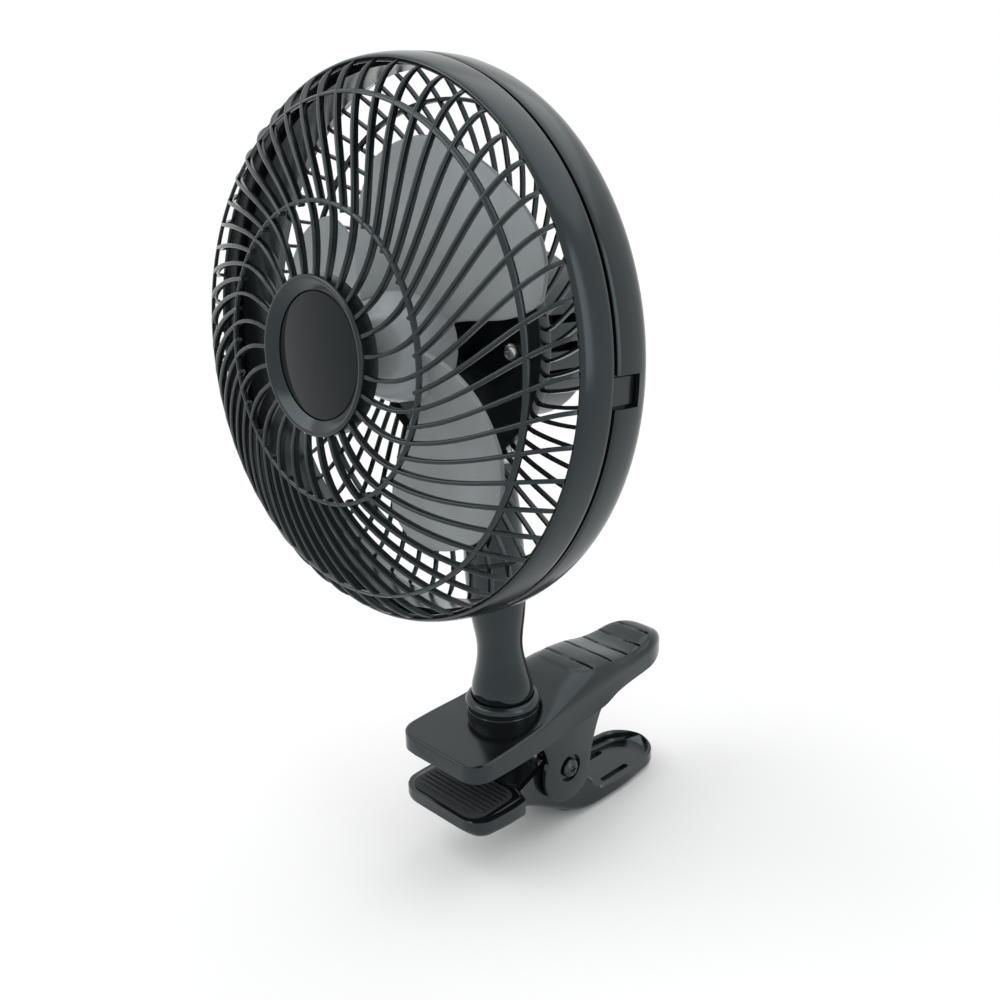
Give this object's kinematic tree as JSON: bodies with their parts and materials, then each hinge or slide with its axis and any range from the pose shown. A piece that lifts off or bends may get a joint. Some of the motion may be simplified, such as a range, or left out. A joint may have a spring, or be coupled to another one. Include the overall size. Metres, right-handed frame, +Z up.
{
  "type": "clip fan",
  "caption": "Small black clip-on table fan: domed guard over a three-blade impeller, tilting and swivelling on a spring clip.",
  "frame": {"origin": "on the gripping face of the upper jaw's pad, 18 mm ahead of the neck's axis", "axes": "+Z up from the gripped surface, the fan blows towards -Y, the clip's handles point to +Y, +X to the right of a viewer who looks along +Y"},
  "size_m": [0.1818, 0.1693, 0.2947],
  "materials": {
    "gloss_black": "gloss",
    "satin_black": "satin",
    "smoke_grey": "translucent",
    "rubber_black": "matte",
    "bright_steel": "satin",
    "zinc_steel": "satin",
    "core_steel": "laminated",
    "bronze": "sintered",
    "winding": "varnished"
  },
  "bodies": {
    "clip": {"upper_jaw": "gloss_black", "upper_pad": "rubber_black", "pivot_screw": "bright_steel", "pivot_nut": "zinc_steel", "clip_spring": "zinc_steel", "swivel_ring": "gloss_black"},
    "lower_clip": {"lower_jaw": "gloss_black", "lower_pad": "rubber_black"},
    "neck": {"neck_post": "gloss_black", "neck_washer": "zinc_steel", "neck_screw": "zinc_steel"},
    "head": {"tilt_bolt": "zinc_steel", "tilt_nut": "zinc_steel", "front_guard": "gloss_black", "badge_disc": "gloss_black", "rear_guard": "gloss_black", "stator_core": "core_steel", "stator_winding": "winding", "front_bush": "bronze", "rear_bush": "bronze", "motor_front_cover": "satin_black", "motor_rear_cover": "satin_black", "guard_screw_1": "bright_steel", "guard_screw_2": "bright_steel", "guard_screw_3": "bright_steel", "guard_screw_4": "bright_steel", "case_screw_1": "zinc_steel", "case_screw_2": "zinc_steel", "cord_gland": "rubber_black", "switch_body": "satin_black"},
    "rotor": {"impeller": "smoke_grey", "motor_shaft": "bright_steel", "rotor_core": "core_steel"},
    "knob": {"switch_knob": "satin_black"}
  },
  "joints": [
    {"name": "jaw_hinge", "type": "hinge", "parent": "clip", "child": "lower_clip", "pos_m": [0, 0.036, -0.0165], "axis": [1, 0, 0], "range_deg": [-14.5, 24], "stiffness_Nm_per_rad": 1.2, "springref_deg": -30.02, "deforming": ["clip_spring"]},
    {"name": "neck_swivel", "type": "hinge", "parent": "clip", "child": "neck", "pos_m": [0, 0.018, 0.0145], "axis": [0, 0, 1], "range_deg": [-170, 170]},
    {"name": "head_tilt", "type": "hinge", "parent": "neck", "child": "head", "pos_m": [0, 0.01333, 0.118], "axis": [-1, 0, 0], "range_deg": [-15, 40]},
    {"name": "rotor_spin", "type": "hinge", "parent": "head", "child": "rotor", "pos_m": [0, -0.02258, 0.16042], "axis": [0, -0.9963, 0.0854], "continuous": true},
    {"name": "speed_knob", "type": "hinge", "parent": "head", "child": "knob", "pos_m": [0, -0.02138, 0.17437], "axis": [0, 0.9963, -0.0854], "range_deg": [0, 120]}
  ]
}
